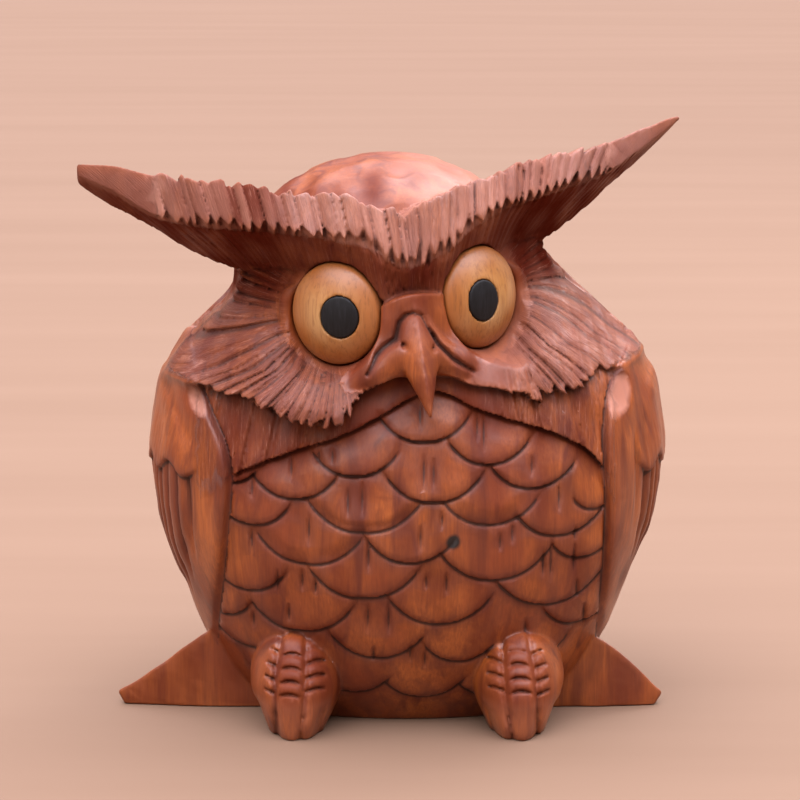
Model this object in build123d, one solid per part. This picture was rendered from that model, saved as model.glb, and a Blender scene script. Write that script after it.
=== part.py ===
from build123d import *
import os

# A carved wooden owl: one solid block with two inlaid eyes, each with an inlaid pupil.
# Millimetres. +Z is up, -Y is the way the owl sits facing, +X is the viewer's right.
# The origin is the middle of the flat underside.

# ---------------------------------------------------------------- body
# Each egg-shaped level of the body: height, half width, reach to the front, reach to the back.
BODY_LEVELS = (
    (0, 43, 29, 30),
    (12, 50, 37, 37),
    (30, 57, 45, 41),
    (50, 62, 49, 43),
    (68, 63, 49, 43),
    (80, 61, 47, 42),
    (92, 54, 42, 40),
    (104, 43, 34, 36),
    (122, 30, 24, 28),
)
WING_RISE = 2.6          # how far the folded wings stand proud of the body
COLLAR_RISE = 1.6        # the smooth band under the face
FACE_RISE = 4.0          # the lower edge of the face, which overhangs the collar
REACH = 90               # longer than any part of the owl, for outlines cut right through it

# Front outlines, as (x, z) corners, right side first; the left side is its mirror image.
WING_OUTLINE = ((52, 85), (48.5, 76), (48, 52), (48.5, 21), (75, 21), (75, 95), (57, 92))
COLLAR_MIDDLE = 4        # the collar's point sits off centre, under the turned beak
COLLAR_OUTLINE = ((0, 87), (15, 81), (31, 75), (42, 69), (48, 60), (58, 84), (50, 105), (0, 105))

# ---------------------------------------------------------------- head
# The head has its own frame, turned and tilted on the body, with its origin between the eyes.
HEAD_CENTRE = (-5, 0, 106)
HEAD_TURN = 9            # degrees, towards the viewer's right
HEAD_TILT = 4            # degrees, the viewer's right side up
SKULL_CENTRE = (0, 2, 4)
SKULL_RADII = (39, 38, 31)
# Each level of the face: height, half width, reach to the front.
FACE_LEVELS = ((-30, 65, 51), (-16, 63, 50), (-4, 52, 46), (6, 46, 42), (16, 40, 36))
FACE_OUTLINE = ((0, -10), (11, -15), (18, -22), (31, -22.5), (42, -19), (57, -16), (46, 4), (38, 14), (0, 14))
FACE_SKIRT_TOP = -6      # the overhanging lower edge follows the body up to this height

# Brow and ear tuft: x, then (y, z) of the front top, front foot, root foot and root top corners.
BROW_LEVELS = (
    (0, (-42.5, 25.5), (-47.5, 14), (-42.5, 5), (-8, 20)),
    (14, (-41.5, 30), (-46, 20), (-39, 10), (-6, 23.5)),
    (30, (-35, 33.5), (-40, 24.5), (-20, 10), (-4, 27)),
    (45, (-25, 34.5), (-28.5, 24.5), (-8, 14), (2, 29.5)),
    (57, (-14, 35), (-16.5, 24.5), (-6, 22), (2, 31.5)),
    (68, (-6, 37.5), (-6.5, 31), (0, 29.5), (2.5, 35)),
)
TUFT_TIP = ((-0.5, 39.2), (-0.5, 37.2), (1.5, 37), (1.5, 39))
TUFT_REACH = {-1: 76, 1: 79.5}      # the left tuft is the shorter

# Beak: height, half width, front ridge, widest line and root, as y.
BEAK_LEVELS = (
    (5, 3, -47.5, -45.5, -34),
    (-3, 8, -51.8, -46.5, -34),
    (-8, 9, -54.8, -47.5, -35),
    (-12.5, 6, -56.8, -50, -37),
    (-17, 2.6, -58, -54.5, -46),
    (-22.3, 0.6, -58.3, -57.3, -56),
)

# ---------------------------------------------------------------- eyes
EYE_CENTRES = {-1: (-18.3, -38.5, 1.6), 1: (18, -38.5, 2.4)}      # the middle of each rim, on the head
EYE_SPLAY = 32                   # degrees that each eye looks away from straight ahead
EYE_RIM = (11.7, 12.7)           # half width and half height where the eye leaves its socket
EYE_DOME = 5                     # how far the eye bulges out of its rim
EYE_SEAT = 8                     # how deep the eye's tenon goes
PUPIL_RADII = (4.85, 5.15)       # half width and half height
PUPIL_DEPTH = 6                  # the pupil's length, from the top of the dome inwards
PUPIL_OFFSET = 3                 # how far the pupil is set towards the beak
PUPIL_TURN = 9                   # degrees that its axis leans with the dome there
GLUE_GAP = 0.15                  # all round a tenon; its end face seats on the wood
HOLLOW_FLARE = 5                 # how much wider than the eye the hollow in front of it opens
HOLLOW_LENGTH = 9

# ---------------------------------------------------------------- feet and tail
FOOT_CENTRES = ((-27.5, -34, 6), (28.3, -34, 6))
FOOT_RADII = (11.6, 15.2, 20.5)
TOE_GROOVES = (-3.8, 3.8)        # the two grooves that part each foot into three toes
GROOVE_WIDTH = 1.4
GROOVE_DEPTH = 1.6

TAIL_HEIGHT = 21
TAIL_PLAN = ((-74, -14), (-48, -18), (48, -18), (66.5, -14), (59, 20), (32, 50), (-34, 50), (-64, 20))
TAIL_FRONT = ((-74, 0), (-74, 3.5), (-50, 19.5), (50, 17), (66.5, 3), (66.5, 0))
TAIL_SIDE = ((-18, 0), (-18, 21), (52, 4), (52, 0))


def ellipsoid(centre, radii, grow=0):
    """A solid ellipsoid with its radii along X, Y and Z."""
    size = tuple(radius + grow for radius in radii)
    return Pos(*centre) * scale(Sphere(1), by=size)


def side_prism(points):
    """A prism along Y, all the way through the owl, with a front outline of (x, z) corners."""
    return extrude(Plane.XZ * Polygon(*points, align=None), amount=REACH, both=True)


def front_prism(points):
    """The part of a side prism that is in front of the owl's middle."""
    return side_prism(points) & Pos(0, -REACH, 0) * Box(4 * REACH, 2 * REACH, 4 * REACH)


def mirrored(points):
    """The left outline of a right one."""
    return tuple((-x, z) for x, z in reversed(points))


def symmetric(points):
    """A closed outline from its right half, whose first and last corners are on the middle line."""
    return tuple(points) + tuple((-x, z) for x, z in reversed(points[1:-1]))


def body_egg(grow=0):
    """The body's egg, or a larger one that a raised layer is cut from."""
    levels = []
    for height, half_width, front, back in BODY_LEVELS:
        level = Ellipse(half_width + grow, (front + back) / 2 + grow)
        levels.append(Pos(0, (back - front) / 2, height) * level)
    return loft(levels)


def on_head(shape):
    """A shape made in the head's frame, put where the head is."""
    return Pos(*HEAD_CENTRE) * Rot(0, 0, HEAD_TURN) * Rot(0, -HEAD_TILT, 0) * shape


def wings():
    """Both folded wings, as layers on the body's sides."""
    layer = body_egg(WING_RISE)
    right = layer & side_prism(WING_OUTLINE)
    left = layer & side_prism(mirrored(WING_OUTLINE))
    return right + left


def collar():
    """The smooth band between the face and the chest."""
    return body_egg(COLLAR_RISE) & Pos(COLLAR_MIDDLE, 0, 0) * front_prism(symmetric(COLLAR_OUTLINE))


def facial_disc():
    """The raised face, from cheek to cheek, with the skirt where it overhangs the collar."""
    levels = [Pos(0, 0, height) * Ellipse(width, front) for height, width, front in FACE_LEVELS]
    outline = front_prism(symmetric(FACE_OUTLINE))
    low = Pos(0, 0, FACE_SKIRT_TOP - REACH) * Box(4 * REACH, 4 * REACH, 2 * REACH)
    face = loft(levels) & outline
    return on_head(face) + (body_egg(FACE_RISE) & on_head(outline & low))


def brow_half(side):
    """Half of the brow with its ear tuft; side is 1 on the right and -1 on the left."""
    levels = []
    for x, *corners in BROW_LEVELS + ((TUFT_REACH[side], *TUFT_TIP),):
        levels.append(Plane.YZ.offset(side * x) * Polygon(*corners, align=None))
    return loft(levels, ruled=True)


def beak():
    """The hooked beak, as a ridge that leans forward and ends in a point."""
    levels = []
    for height, half_width, ridge, widest, root in BEAK_LEVELS:
        kite = Polygon((0, ridge), (half_width, widest), (0, root), (-half_width, widest), align=None)
        levels.append(Pos(0, 0, height) * kite)
    return loft(levels, ruled=True)


def foot(centre):
    """One foot, with two grooves between its three toes."""
    x, y, z = centre
    core = ellipsoid(centre, FOOT_RADII, -GROOVE_DEPTH)
    shape = ellipsoid(centre, FOOT_RADII)
    for offset in TOE_GROOVES:
        slab = Pos(x + offset, y, z) * Box(GROOVE_WIDTH, REACH, REACH)
        shape = shape - (slab - core)
    return shape


def tail():
    """The spread tail behind the feet: a fan in plan, which thins towards its edges."""
    fan = extrude(Polygon(*TAIL_PLAN, align=None), amount=TAIL_HEIGHT)
    slope = extrude(Plane.YZ * Polygon(*TAIL_SIDE, align=None), amount=REACH, both=True)
    return fan & side_prism(TAIL_FRONT) & slope


def eye_plane(side):
    """The plane of an eye's rim, with its normal the way the eye looks."""
    return on_head(Pos(*EYE_CENTRES[side]) * Rot(0, 0, side * EYE_SPLAY) * Rot(90, 0, 0))


def pupil_place(side):
    """Where the pupil's axis leaves the dome, with the axis square to the dome there."""
    return eye_plane(side) * Pos(-side * PUPIL_OFFSET, 0, EYE_DOME) * Rot(0, -side * PUPIL_TURN, 0)


def eye_dome(side):
    """The bulging front of an eye, out of its rim."""
    depth = 2 * EYE_DOME
    # An ellipsoid whose section half way to its top is the rim, where it is 0.866 of its radii.
    shrink = 0.75 ** 0.5
    ball = scale(Sphere(1), by=(EYE_RIM[0] / shrink, EYE_RIM[1] / shrink, depth))
    front = extrude(Ellipse(*EYE_RIM), amount=depth)
    return eye_plane(side) * ((Pos(0, 0, -EYE_DOME) * ball) & front)


def eye_tenon(side, gap=0.0):
    """The straight part of an eye, which sits in its socket."""
    outline = Ellipse(EYE_RIM[0] + gap, EYE_RIM[1] + gap)
    return eye_plane(side) * extrude(outline, amount=-EYE_SEAT)


def eye_socket(side):
    """The blind hole for an eye, with the hollow that opens in front of it."""
    rim = Ellipse(EYE_RIM[0] + GLUE_GAP, EYE_RIM[1] + GLUE_GAP)
    mouth = Ellipse(EYE_RIM[0] + HOLLOW_FLARE, EYE_RIM[1] + HOLLOW_FLARE)
    hollow = loft([rim, Pos(0, 0, HOLLOW_LENGTH) * mouth])
    return eye_tenon(side, GLUE_GAP) + eye_plane(side) * hollow


def pupil_plug(side, gap=0.0):
    """An oval plug along the pupil's axis, from past the dome down to its seat."""
    plug = extrude(Ellipse(PUPIL_RADII[0] + gap, PUPIL_RADII[1] + gap), amount=PUPIL_DEPTH + 4)
    return pupil_place(side) * Pos(0, 0, -PUPIL_DEPTH) * plug


def eye(side):
    """One eye with its pupil's hole."""
    return eye_dome(side) + eye_tenon(side) - pupil_plug(side, GLUE_GAP)


def pupil(side):
    """One pupil, flush with the eye's dome."""
    return pupil_plug(side) & (eye_dome(side) + eye_tenon(side))


def carved_body():
    """The one carved block, flat underneath, with its two eye sockets."""
    head = on_head(ellipsoid(SKULL_CENTRE, SKULL_RADII) + brow_half(1) + brow_half(-1) + beak())
    block = body_egg() + wings() + collar() + facial_disc() + head + tail()
    for centre in FOOT_CENTRES:
        block = block + foot(centre)
    for side in (-1, 1):
        block = block - eye_socket(side)
    above_ground = Pos(0, 0, REACH) * Box(4 * REACH, 4 * REACH, 2 * REACH)
    return block & above_ground


parts = {
    "carved_body": carved_body(),
    "left_eye": eye(-1),
    "right_eye": eye(1),
    "left_pupil": pupil(-1),
    "right_pupil": pupil(1),
}

os.makedirs("parts", exist_ok=True)
for name, shape in parts.items():
    export_step(shape, f"parts/{name}.step")
    size = shape.bounding_box().size
    print(name, len(shape.solids()), round(shape.volume), tuple(round(v, 1) for v in size))
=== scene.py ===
import math
from collections import namedtuple

import bpy
import numpy as np
import openvdb
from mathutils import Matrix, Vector


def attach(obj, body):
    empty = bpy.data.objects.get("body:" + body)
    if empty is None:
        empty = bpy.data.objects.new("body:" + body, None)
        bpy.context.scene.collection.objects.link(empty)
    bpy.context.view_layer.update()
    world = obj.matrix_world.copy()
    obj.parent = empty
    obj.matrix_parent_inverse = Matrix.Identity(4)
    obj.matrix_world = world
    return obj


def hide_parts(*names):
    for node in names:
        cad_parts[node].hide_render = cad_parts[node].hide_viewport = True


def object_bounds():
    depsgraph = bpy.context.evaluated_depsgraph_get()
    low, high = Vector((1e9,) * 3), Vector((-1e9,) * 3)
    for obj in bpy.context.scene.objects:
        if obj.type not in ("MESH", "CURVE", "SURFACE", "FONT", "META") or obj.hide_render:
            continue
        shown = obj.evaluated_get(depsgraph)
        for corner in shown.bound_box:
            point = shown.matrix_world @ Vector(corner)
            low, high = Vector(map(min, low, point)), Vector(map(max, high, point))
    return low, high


# The carving is worked out in millimetres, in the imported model's frame: +Z up, -Y to the front.
# It is a field that is negative inside the wood, meshed once; each function below cuts or adds a form.

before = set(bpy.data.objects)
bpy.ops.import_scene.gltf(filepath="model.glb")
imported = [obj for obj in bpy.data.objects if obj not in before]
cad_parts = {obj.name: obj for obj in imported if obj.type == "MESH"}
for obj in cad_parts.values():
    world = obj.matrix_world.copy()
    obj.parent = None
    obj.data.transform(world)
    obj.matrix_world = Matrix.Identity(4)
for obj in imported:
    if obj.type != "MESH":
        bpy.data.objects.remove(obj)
CAD_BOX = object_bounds()

MM = 0.001
STEP = 0.42  # the sampling step of the carving
MOST_TRIANGLES = 196_000
FAR = 9.0  # stands for "no cut near here"
SHOWS_WITHIN = 0.9  # a form shows where its own field is this near to nothing
HEAD_FROM = 66.0  # all of the head is above this height
FEET_BELOW = 32.0  # all of the feet and the tail is below this one

# ---- the frames that forms are made in
HEAD_CENTRE = (-5.0, 0.0, 106.0)
HEAD_TURN = math.radians(9)
HEAD_TILT = math.radians(4)
EYE_CENTRES = {-1: (-18.3, -38.5, 1.6), 1: (18.0, -38.5, 2.4)}  # the middle of each rim, on the head
EYE_SPLAY = math.radians(32)
EYE_RIM = (11.7, 12.7)
EYE_DOME = 5.0
EYE_SEAT = 8.0
RING_SCALE = 13.0  # turns a share of the rim's ellipse into about a millimetre
PUPIL_RADII = {-1: (4.75, 5.15), 1: (4.2, 5.1)}
PUPIL_OFFSET = 3.0
PUPIL_TURN = math.radians(9)
PUPIL_GAP = 0.12
EYE_SPAN = 17.0  # a box this far either side holds an eye


def turned(angle):
    """The matrix of a turn about Z."""
    c, s = math.cos(angle), math.sin(angle)
    return np.array(((c, -s, 0), (s, c, 0), (0, 0, 1)))


def tilted(angle):
    """The matrix of a tilt about Y, with +X going up."""
    c, s = math.cos(angle), math.sin(angle)
    return np.array(((c, 0, -s), (0, 1, 0), (s, 0, c)))


HEAD_AXES = turned(HEAD_TURN) @ tilted(HEAD_TILT)


def into_head(x, y, z):
    """World millimetres to the head's own frame."""
    p = np.stack((x - HEAD_CENTRE[0], y - HEAD_CENTRE[1], z - HEAD_CENTRE[2]))
    return HEAD_AXES.T.astype(p.dtype) @ p


def eye_axes(side):
    """The eye's axes in the head's frame: across, up, and out the way it looks."""
    c, s = math.cos(EYE_SPLAY), math.sin(EYE_SPLAY)
    return np.array(((c, side * s, 0), (0, 0, 1), (side * s, -c, 0)))


# ---- small tools for shapes
def curve(knots):
    """A smooth function through given {place: value} knots, level past its ends."""
    count = 600
    at, value = np.array(list(knots.items()), float).T
    slope = np.gradient(value, at)
    fine = np.linspace(at[0], at[-1], count)
    i = np.clip(np.searchsorted(at, fine) - 1, 0, len(at) - 2)
    width = at[i + 1] - at[i]
    t = (fine - at[i]) / width
    rise = value[i + 1] - value[i]
    a = slope[i] * width
    b = slope[i + 1] * width
    table = value[i] + t * (a + t * (3 * rise - 2 * a - b + t * (a + b - 2 * rise)))
    table = table.astype(np.float32)
    scale = (count - 1) / (at[-1] - at[0])

    def read(place):
        spot = np.clip((place - at[0]) * scale, 0, count - 1.001)
        low = spot.astype(np.int32)
        part = (spot - low).astype(np.float32)
        return table[low] * (1 - part) + table[low + 1] * part

    return read


def smin(a, b, blend):
    """The union of two fields, with a fillet."""
    h = np.clip(0.5 + 0.5 * (b - a) / blend, 0, 1)
    return b + (a - b) * h - blend * h * (1 - h)


def smax(a, b, blend):
    """The overlap of two fields, with a rounded edge."""
    return -smin(-a, -b, blend)


def ramp(value, low, high):
    """0 below low, 1 above high, smooth between."""
    t = np.clip((value - low) / (high - low), 0, 1)
    return t * t * (3 - 2 * t)


def fall(value, low, high):
    """1 below low, 0 above high, smooth between."""
    return 1 - ramp(value, low, high)


def tent(distance, half):
    """1 at no distance, falling straight to 0 at a half width."""
    return np.clip(1 - distance / half, 0, 1)


def hump(value, centre, width):
    """A smooth bump of height 1."""
    return np.exp(-(((value - centre) / width) ** 2))


# Each use of cells, per_cell and waves gives the seed of its random draws.
def cells(place, pitch, seed, jitter=0.45, low=-150.0, high=150.0):
    """Splits a line into uneven cells: each point's cell, its place in the cell and the cell's width."""
    random = np.random.default_rng(seed)
    count = int((high - low) / pitch * 1.2)
    edges = low + np.cumsum(pitch * (1 + jitter * (2 * random.random(count) - 1)))
    index = np.clip(np.searchsorted(edges, place), 1, count - 1)
    left = edges[index - 1].astype(np.float32)
    width = (edges[index] - edges[index - 1]).astype(np.float32)
    return index, (place - left) / width, width


def per_cell(index, seed, low, high):
    """A random value for each cell."""
    random = np.random.default_rng(seed)
    values = random.uniform(low, high, 2048).astype(np.float32)
    return values[index % 2048]


def edge_distance(part, width):
    """How far a place in a cell is from the cell's nearer edge."""
    return np.minimum(part, 1 - part) * width


def v_cut(part, width, half, depth=1.0):
    """A V-shaped cut along every cell's edges."""
    return depth * tent(edge_distance(part, width), half)


def arch(part):
    """A smooth arch over each cell, 1 in its middle."""
    return 4 * part * (1 - part)


def waves(x, y, z, size, seed):
    """Smooth random swell between about -1 and 1."""
    random = np.random.default_rng(seed)
    total = 0
    for _ in range(5):
        way = random.normal(size=3)
        way = way / np.linalg.norm(way) * (2 * math.pi / size) * random.uniform(0.6, 1.5)
        total = total + np.sin(way[0] * x + way[1] * y + way[2] * z + random.uniform(0, 6.3))
    return total / 3


def round_cone(p, start, end, r_start, r_end):
    """A rod from start to end, with a radius at each end."""
    start = np.array(start, np.float32)
    along = np.array(end, np.float32) - start
    length2 = float(along @ along)
    t = np.clip(sum((p[i] - start[i]) * along[i] for i in range(3)) / length2, 0, 1)
    gap = sum((p[i] - start[i] - along[i] * t) ** 2 for i in range(3))
    return np.sqrt(gap) - (r_start + (r_end - r_start) * t)


def ball(p, centre, radii):
    """An ellipsoid."""
    q = np.sqrt(sum(((p[i] - centre[i]) / radii[i]) ** 2 for i in range(3)))
    reach = np.sqrt(sum((p[i] - centre[i]) ** 2 for i in range(3)))
    return reach * (1 - 1 / np.maximum(q, 0.05))


def line_distance(u, v, points):
    """Distance from (u, v) to a run of straight lines."""
    best = np.full(u.shape, 1e6, np.float32)
    for (u0, v0), (u1, v1) in zip(points[:-1], points[1:]):
        du, dv = u1 - u0, v1 - v0
        t = np.clip(((u - u0) * du + (v - v0) * dv) / (du * du + dv * dv), 0, 1)
        best = np.minimum(best, np.hypot(u - u0 - du * t, v - v0 - dv * t))
    return best


def shave(f, p, spot, normal, radius, depth):
    """A gouge's shallow round cut at a spot on the surface."""
    normal = np.array(normal, float) / np.linalg.norm(normal)
    centre = np.array(spot, float) + normal * (radius - depth)
    gap = np.sqrt(sum((p[i] - centre[i]) ** 2 for i in range(3)))
    return np.maximum(f, radius - gap)


# ---- the body's egg
BODY_HALF_WIDTH = curve({
    0: 42, 12: 49.2, 24: 54, 35: 57.6, 50: 61.5, 66: 63.2, 77: 62.8, 82: 62.2, 86: 61.0, 90: 58.9, 94: 55.8,
    98: 51.8, 103: 46.4, 108: 41, 115: 34, 122: 27})
BODY_SHIFT = 0.6  # the shoulders sit a little to the right of the feet
BODY_FRONT = curve({0: 29, 12: 37, 30: 45, 50: 49, 68: 48.5, 80: 46, 92: 42, 104: 34, 122: 24})
BODY_BACK = curve({0: 30, 12: 36, 30: 41, 50: 43, 68: 43, 80: 42, 92: 40, 104: 36, 122: 28})
BODY_SQUARENESS = 2.2
BODY_TOP = 119

CHEST_LEFT = curve({8: -47, 20: -47.5, 41: -46.2, 57: -45.3, 66: -45.5, 80: -49})
CHEST_RIGHT = curve({8: 49, 20: 49.5, 37: 50.5, 52: 51.4, 60: 50.8, 66: 49, 80: 52})
COLLAR_EDGE = curve({
    -49: 61, -46: 64, -41: 67, -29: 72.6, -15: 77.7, -5: 83, 1: 86.5, 5: 88, 10: 87, 16: 84, 23: 81.4,
    39: 75.3, 45: 71.3, 49: 66, 52: 58})
WING_LEFT = curve({
    8: -49, 23: -47.6, 41: -45.4, 57: -44, 66: -43.6, 72: -44.7, 81: -48.9, 89: -52.5, 97: -56})
WING_RIGHT = curve({8: 49, 23: 49.2, 41: 49.6, 57: 49.6, 66: 49, 79: 48.9, 87: 50.6, 94: 55.8, 99: 59})
WING_RIDGE = 2.6  # how far behind its front line the wing is thickest
WING_RIDGE_HEIGHT = 3.0
WING_ARC = 56  # about the body's radius, to turn an angle into a length
FLIGHT_PITCH = 6.2  # from one flight feather to the next
BARB_PITCH = 1.9
WING_END = 19.0  # the wings end on top of the tail
COVERT_END = 65.0

# Chest feathers: the middle, the lower tip's height, the half width, and how far up its lip is bevelled.
CHEST_FEATHERS = (
    (4, 76, 11.5, 0), (-13, 67.6, 10.8, 0), (20, 70.4, 10.2, 0), (-28, 61.5, 11, 0), (31, 64, 10.8, 0),
    (6.5, 61.3, 12, 0), (-38.5, 54, 9.5, 0), (-10.5, 53.7, 14.4, 3), (20.5, 55.3, 12, 4.5),
    (38, 51.4, 11.4, 0), (-24, 45, 13.4, 4.5), (1, 46, 11, 0), (22, 41, 14.2, 0), (44, 44.6, 8, 0),
    (-39.5, 36.4, 9.6, 0), (-10.5, 36.5, 13.8, 0), (8.5, 29.5, 13, 0), (36, 33, 14, 0), (-26, 26.5, 13, 0),
    (44, 26, 9.5, 0), (-7, 19.8, 12, 0), (13.5, 18.6, 9, 0), (-39, 19.8, 10, 0), (30, 17, 11.5, 0),
    (4.5, 7.8, 10.8, 0), (-13, 9.1, 9.5, 0), (-30, 9, 10, 0), (22, 7.5, 9.5, 0), (-46, 28, 7, 0),
    (-44, 64, 7, 0), (47, 57, 6, 0))
COLLAR_GOUGE_PITCH = 3.2
COLLAR_SCRATCH_PITCH = 1.5
# Lens-shaped gouges down the chest feathers: x, the middle's height and the length.
CHEST_GOUGES = (
    (-28.5, 68.6, 5.5), (-38.3, 63, 5.5), (-21.7, 72, 3.6), (-18.4, 72, 4.2), (-14.5, 60.8, 7.5),
    (-11, 61.8, 8.5), (4, 68.4, 8.5), (6.4, 68, 7.3), (17, 79, 7), (18.6, 77.6, 8.6), (37.5, 60.5, 6.7),
    (-38.3, 49.5, 7.3), (-24, 53.6, 8), (-9.3, 47.2, 7.5), (3.4, 52, 6.7), (8.6, 56.5, 4.7),
    (23, 50.5, 4.7), (26, 52.5, 5.3), (33.9, 44, 7.3), (35.9, 44, 10), (41.7, 44.6, 8.7),
    (-31.8, 39.5, 6.7), (-25.6, 40.4, 6), (-22.3, 38.6, 4), (5, 40.6, 4), (10, 40, 6), (41.7, 51, 4),
    (42.7, 36, 5.3), (-9.3, 30.7, 8), (-4.2, 30.7, 8), (-7.9, 20.8, 4), (1.2, 20.8, 5), (4.9, 19, 5),
    (45, 28, 6), (30.5, 69, 5), (3, 82, 7), (-29, 31, 5), (-38, 28, 5), (30, 26, 6))


def feather_layer(u, v, feathers, lift):
    """Overlapping round-ended feathers, each rising to its lip, and the distance to their edges."""
    relief = np.zeros(u.shape, np.float32)
    gap = np.full(u.shape, FAR, np.float32)
    for middle, tip, half, bevel in sorted(feathers, key=lambda feather: feather[1]):
        across = np.abs(u - middle) / half
        up = v - tip - 0.57 * half * across**2.4
        zone = (across < 1.15) & (up > -3.5) & (up < 16)
        a = across[zone]
        h = up[zone] / np.hypot(1, 1.37 * a**1.4)
        under, under_gap = relief[zone], gap[zone]
        fade = fall(a, 0.9, 1.15)
        line = 0.55 * fade * hump(h, -0.45, 0.5)
        swell = 0.5 * np.clip(1 - a * a, 0, 1) * tent(h, 9)
        height = fade * (lift * tent(h, 13) + swell)
        height = height - 0.35 * fade * fall(h, 0, 1.6)
        if bevel > 0:
            height = height - 0.9 * fall(h, 0, bevel) * fade
        inside = (h > 0) & (height + 0.25 > under)
        relief[zone] = np.where(h > 0, np.maximum(under, height), under - line)
        gap[zone] = np.where(inside, h + 0.4, np.minimum(under_gap, np.abs(h + 0.4) + 2 * (1 - fade)))
    return relief, gap


def feather_rows(start, pitch, rise, half, rows, steps):
    """Rows of equal feathers, each row half a feather across from the one below."""
    return [(start[0] + pitch * (step + 0.5 * (row % 2)), start[1] + rise * row, half, 0)
            for row in range(rows) for step in steps]


def gouge_cuts(u, v, gouges, width, depth):
    """Upright cuts, wide and deep in the middle and running out to points, and the distance to them."""
    cut = np.zeros(u.shape, np.float32)
    gap = np.full(u.shape, FAR, np.float32)
    for middle, height, length in gouges:
        lens = np.clip(1 - ((v - height) / (0.62 * length)) ** 2, 0, 1)
        near = lens > 0
        away = np.abs(u[near] - middle)
        deep = depth * lens[near] * tent(away, width * lens[near] + 0.05)
        cut[near] = np.maximum(cut[near], deep)
        gap[near] = np.minimum(gap[near], away + 0.85 - 0.7 * lens[near])
    return cut, gap


def chest_relief(x, z):
    """The chest feathers with their gouges, cut in under the collar's lower edge."""
    relief, gap = feather_layer(x, z, CHEST_FEATHERS, 1.0)
    cut, cut_gap = gouge_cuts(x, z, CHEST_GOUGES, 0.85, 0.95)
    below = COLLAR_EDGE(x) - z
    relief = relief - cut - 0.8 * fall(below, 0, 1.5) - 0.6 * fall(below, 1, 7)
    return relief, np.minimum(np.minimum(gap, cut_gap), below + 0.1)


def collar_relief(x, z):
    """The smooth band under the face, with upright gouge marks."""
    above = z - COLLAR_EDGE(x)
    outer = ramp(np.abs(x - 3), 12, 26)
    lean = (0.3 + 0.5 * outer) * fall(above, 0, 9)
    slant = x + 0.22 * (z - 75) * np.sign(x - 4)
    index, part, _ = cells(slant, COLLAR_GOUGE_PITCH, 11)
    scoop = 0.7 * arch(part) * per_cell(index, 12, 0.2, 1.3)
    fine, fine_part, fine_width = cells(slant, COLLAR_SCRATCH_PITCH, 13)
    scratch = v_cut(fine_part, fine_width, 0.6, 0.26) * per_cell(fine, 14, 0.2, 1.4)
    relief = 1.3 + lean - (0.15 + 0.85 * outer) * scoop - (0.3 + 0.7 * outer) * scratch
    return relief * ramp(above, -2, 0), np.where(above > -1, np.abs(above) + 0.5, FAR)


def wing_relief(x, z, around, edge):
    """The folded wing: a rounded leading edge, coverts over flight feathers, and a feathered shoulder."""
    thin = 1 - 0.75 * fall(z, 22, 52)
    lip = ramp(edge, -0.5, 2.0)
    relief = thin * (2.1 * lip + 0.9 * hump(edge, WING_RIDGE, 2.2)) - 0.7 * hump(edge, 9.8, 1.8)
    arc = around * WING_ARC
    above = z - COVERT_END - 1.6 * np.sin(arc * 0.45 + np.sign(x))
    covert = ramp(above, -0.3, 0.4) * ramp(edge, 8.0, 10.0)
    relief = relief + 1.2 * covert * (1 - 0.8 * ramp(above, 0, 14))

    slant = arc + 0.32 * (z - 20) * ramp(arc, 30, 90)
    long = (1 - covert) * ramp(edge, 7, 10) * ramp(COVERT_END + 10 - z, 0, 4)
    _, part, width = cells(slant, FLIGHT_PITCH, 21)
    relief = relief - long * (v_cut(part, width, 1.1, 1.25) - 0.5 * arch(part))
    gap = np.minimum(np.abs(edge + 0.3) + 0.15, edge_distance(part, width) + FAR * (1 - long))
    gap = np.minimum(gap, np.abs(above + 0.5) + FAR * fall(edge, 8.5, 10))
    _, part, width = cells(slant, BARB_PITCH, 22)
    relief = relief - 0.13 * ramp(edge, 9, 12) * v_cut(part, width, 0.8)

    plumes = feather_rows((60, 76), 12, 8.5, 7.5, 4, range(-1, 14))
    plume, plume_gap = feather_layer(arc, z, plumes, 1.0)
    shoulder = ramp(z, 71, 76) * ramp(arc, 102, 116)
    relief = relief + shoulder * (plume - 0.5)
    gap = np.minimum(gap, plume_gap + FAR * fall(shoulder, 0.4, 0.6))
    under_face = ramp(z, 86.5, 92) * fall(around, 1.3, 1.9)
    relief = relief + under_face * (1.6 - relief)
    return relief * ramp(z, WING_END - 5, WING_END + 4), gap


def mantle_relief(x, z):
    """The back between the wings: rows of round feathers."""
    return feather_layer(x, z, feather_rows((0, 12), 11.5, 8.6, 7, 11, range(-4, 5)), 1.1)


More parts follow.
